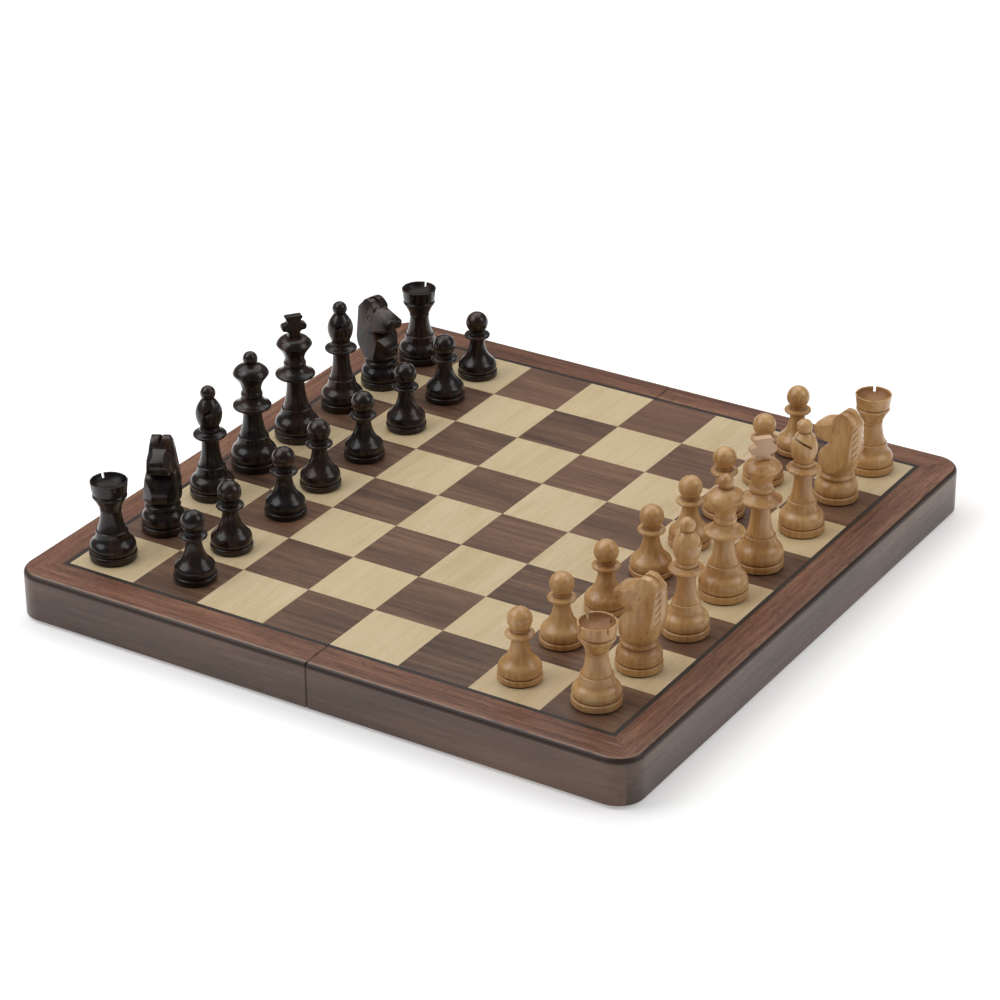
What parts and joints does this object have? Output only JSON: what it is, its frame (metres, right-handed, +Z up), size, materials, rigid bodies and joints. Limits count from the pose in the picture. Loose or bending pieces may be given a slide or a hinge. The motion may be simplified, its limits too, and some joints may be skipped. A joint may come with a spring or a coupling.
{
  "type": "chess set with board",
  "caption": "Folding wooden chess board with storage trays underneath and a full set of turned and carved chess pieces on their starting squares.",
  "frame": {"origin": "middle of the open board's base, at the lowest point of the hinge knuckles", "axes": "+Z up; +X from the black player's end to the white player's end; +Y along the fold from the a-file side to the h-file side"},
  "size_m": [0.38, 0.38, 0.1047],
  "materials": {
    "walnut_rail": "satin lacquered walnut",
    "walnut_veneer": "satin lacquered walnut veneer",
    "maple_veneer": "satin lacquered maple veneer",
    "black_line": "black dyed veneer line",
    "plywood": "raw plywood core",
    "felt": "short pile felt",
    "brass": "polished brass",
    "steel": "bright steel",
    "boxwood": "honey lacquered boxwood",
    "dark_lacquered_wood": "near-black gloss lacquered wood"
  },
  "bodies": {
    "black_half": {"black_end_rail": "walnut_rail", "black_near_rail": "walnut_rail", "black_far_rail": "walnut_rail", "black_hinge_rail": "walnut_rail", "black_panel": "plywood", "black_light_squares": "maple_veneer", "black_dark_squares": "walnut_veneer", "black_inlay": "black_line", "black_lining": "felt", "black_magnets": "steel", "black_hinge_leaves": "brass", "black_hinge_screws": "brass", "hinge_pins": "steel"},
    "white_half": {"white_end_rail": "walnut_rail", "white_near_rail": "walnut_rail", "white_far_rail": "walnut_rail", "white_hinge_rail": "walnut_rail", "white_panel": "plywood", "white_light_squares": "maple_veneer", "white_dark_squares": "walnut_veneer", "white_inlay": "black_line", "white_lining": "felt", "white_magnets": "steel", "white_hinge_leaves": "brass", "white_hinge_screws": "brass"},
    "black_rook_a": {"black_rook_a": "dark_lacquered_wood"},
    "black_pawn_a": {"black_pawn_a": "dark_lacquered_wood"},
    "black_knight_b": {"black_knight_b": "dark_lacquered_wood"},
    "black_pawn_b": {"black_pawn_b": "dark_lacquered_wood"},
    "black_bishop_c": {"black_bishop_c": "dark_lacquered_wood"},
    "black_pawn_c": {"black_pawn_c": "dark_lacquered_wood"},
    "black_queen": {"black_queen": "dark_lacquered_wood"},
    "black_pawn_d": {"black_pawn_d": "dark_lacquered_wood"},
    "black_king": {"black_king": "dark_lacquered_wood"},
    "black_pawn_e": {"black_pawn_e": "dark_lacquered_wood"},
    "black_bishop_f": {"black_bishop_f": "dark_lacquered_wood"},
    "black_pawn_f": {"black_pawn_f": "dark_lacquered_wood"},
    "black_knight_g": {"black_knight_g": "dark_lacquered_wood"},
    "black_pawn_g": {"black_pawn_g": "dark_lacquered_wood"},
    "black_rook_h": {"black_rook_h": "dark_lacquered_wood"},
    "black_pawn_h": {"black_pawn_h": "dark_lacquered_wood"},
    "white_rook_a": {"white_rook_a": "boxwood"},
    "white_pawn_a": {"white_pawn_a": "boxwood"},
    "white_knight_b": {"white_knight_b": "boxwood"},
    "white_pawn_b": {"white_pawn_b": "boxwood"},
    "white_bishop_c": {"white_bishop_c": "boxwood"},
    "white_pawn_c": {"white_pawn_c": "boxwood"},
    "white_queen": {"white_queen": "boxwood"},
    "white_pawn_d": {"white_pawn_d": "boxwood"},
    "white_king": {"white_king": "boxwood"},
    "white_pawn_e": {"white_pawn_e": "boxwood"},
    "white_bishop_f": {"white_bishop_f": "boxwood"},
    "white_pawn_f": {"white_pawn_f": "boxwood"},
    "white_knight_g": {"white_knight_g": "boxwood"},
    "white_pawn_g": {"white_pawn_g": "boxwood"},
    "white_rook_h": {"white_rook_h": "boxwood"},
    "white_pawn_h": {"white_pawn_h": "boxwood"}
  },
  "joints": [
    {"name": "fold", "type": "hinge", "parent": "black_half", "child": "white_half", "pos_m": [0, 0, 0.0015], "axis": [0, -1, 0], "range_deg": [-180, 0]},
    {"name": "lift_black_rook_a", "type": "slide", "parent": "black_half", "child": "black_rook_a", "axis": [0, 0, 1], "range_m": [0, 0.085]},
    {"name": "lift_black_pawn_a", "type": "slide", "parent": "black_half", "child": "black_pawn_a", "axis": [0, 0, 1], "range_m": [0, 0.085]},
    {"name": "lift_black_knight_b", "type": "slide", "parent": "black_half", "child": "black_knight_b", "axis": [0, 0, 1], "range_m": [0, 0.085]},
    {"name": "lift_black_pawn_b", "type": "slide", "parent": "black_half", "child": "black_pawn_b", "axis": [0, 0, 1], "range_m": [0, 0.085]},
    {"name": "lift_black_bishop_c", "type": "slide", "parent": "black_half", "child": "black_bishop_c", "axis": [0, 0, 1], "range_m": [0, 0.085]},
    {"name": "lift_black_pawn_c", "type": "slide", "parent": "black_half", "child": "black_pawn_c", "axis": [0, 0, 1], "range_m": [0, 0.085]},
    {"name": "lift_black_queen", "type": "slide", "parent": "black_half", "child": "black_queen", "axis": [0, 0, 1], "range_m": [0, 0.085]},
    {"name": "lift_black_pawn_d", "type": "slide", "parent": "black_half", "child": "black_pawn_d", "axis": [0, 0, 1], "range_m": [0, 0.085]},
    {"name": "lift_black_king", "type": "slide", "parent": "black_half", "child": "black_king", "axis": [0, 0, 1], "range_m": [0, 0.085]},
    {"name": "lift_black_pawn_e", "type": "slide", "parent": "black_half", "child": "black_pawn_e", "axis": [0, 0, 1], "range_m": [0, 0.085]},
    {"name": "lift_black_bishop_f", "type": "slide", "parent": "black_half", "child": "black_bishop_f", "axis": [0, 0, 1], "range_m": [0, 0.085]},
    {"name": "lift_black_pawn_f", "type": "slide", "parent": "black_half", "child": "black_pawn_f", "axis": [0, 0, 1], "range_m": [0, 0.085]},
    {"name": "lift_black_knight_g", "type": "slide", "parent": "black_half", "child": "black_knight_g", "axis": [0, 0, 1], "range_m": [0, 0.085]},
    {"name": "lift_black_pawn_g", "type": "slide", "parent": "black_half", "child": "black_pawn_g", "axis": [0, 0, 1], "range_m": [0, 0.085]},
    {"name": "lift_black_rook_h", "type": "slide", "parent": "black_half", "child": "black_rook_h", "axis": [0, 0, 1], "range_m": [0, 0.085]},
    {"name": "lift_black_pawn_h", "type": "slide", "parent": "black_half", "child": "black_pawn_h", "axis": [0, 0, 1], "range_m": [0, 0.085]},
    {"name": "lift_white_rook_a", "type": "slide", "parent": "white_half", "child": "white_rook_a", "axis": [0, 0, 1], "range_m": [0, 0.085]},
    {"name": "lift_white_pawn_a", "type": "slide", "parent": "white_half", "child": "white_pawn_a", "axis": [0, 0, 1], "range_m": [0, 0.085]},
    {"name": "lift_white_knight_b", "type": "slide", "parent": "white_half", "child": "white_knight_b", "axis": [0, 0, 1], "range_m": [0, 0.085]},
    {"name": "lift_white_pawn_b", "type": "slide", "parent": "white_half", "child": "white_pawn_b", "axis": [0, 0, 1], "range_m": [0, 0.085]},
    {"name": "lift_white_bishop_c", "type": "slide", "parent": "white_half", "child": "white_bishop_c", "axis": [0, 0, 1], "range_m": [0, 0.085]},
    {"name": "lift_white_pawn_c", "type": "slide", "parent": "white_half", "child": "white_pawn_c", "axis": [0, 0, 1], "range_m": [0, 0.085]},
    {"name": "lift_white_queen", "type": "slide", "parent": "white_half", "child": "white_queen", "axis": [0, 0, 1], "range_m": [0, 0.085]},
    {"name": "lift_white_pawn_d", "type": "slide", "parent": "white_half", "child": "white_pawn_d", "axis": [0, 0, 1], "range_m": [0, 0.085]},
    {"name": "lift_white_king", "type": "slide", "parent": "white_half", "child": "white_king", "axis": [0, 0, 1], "range_m": [0, 0.085]},
    {"name": "lift_white_pawn_e", "type": "slide", "parent": "white_half", "child": "white_pawn_e", "axis": [0, 0, 1], "range_m": [0, 0.085]},
    {"name": "lift_white_bishop_f", "type": "slide", "parent": "white_half", "child": "white_bishop_f", "axis": [0, 0, 1], "range_m": [0, 0.085]},
    {"name": "lift_white_pawn_f", "type": "slide", "parent": "white_half", "child": "white_pawn_f", "axis": [0, 0, 1], "range_m": [0, 0.085]},
    {"name": "lift_white_knight_g", "type": "slide", "parent": "white_half", "child": "white_knight_g", "axis": [0, 0, 1], "range_m": [0, 0.085]},
    {"name": "lift_white_pawn_g", "type": "slide", "parent": "white_half", "child": "white_pawn_g", "axis": [0, 0, 1], "range_m": [0, 0.085]},
    {"name": "lift_white_rook_h", "type": "slide", "parent": "white_half", "child": "white_rook_h", "axis": [0, 0, 1], "range_m": [0, 0.085]},
    {"name": "lift_white_pawn_h", "type": "slide", "parent": "white_half", "child": "white_pawn_h", "axis": [0, 0, 1], "range_m": [0, 0.085]}
  ]
}
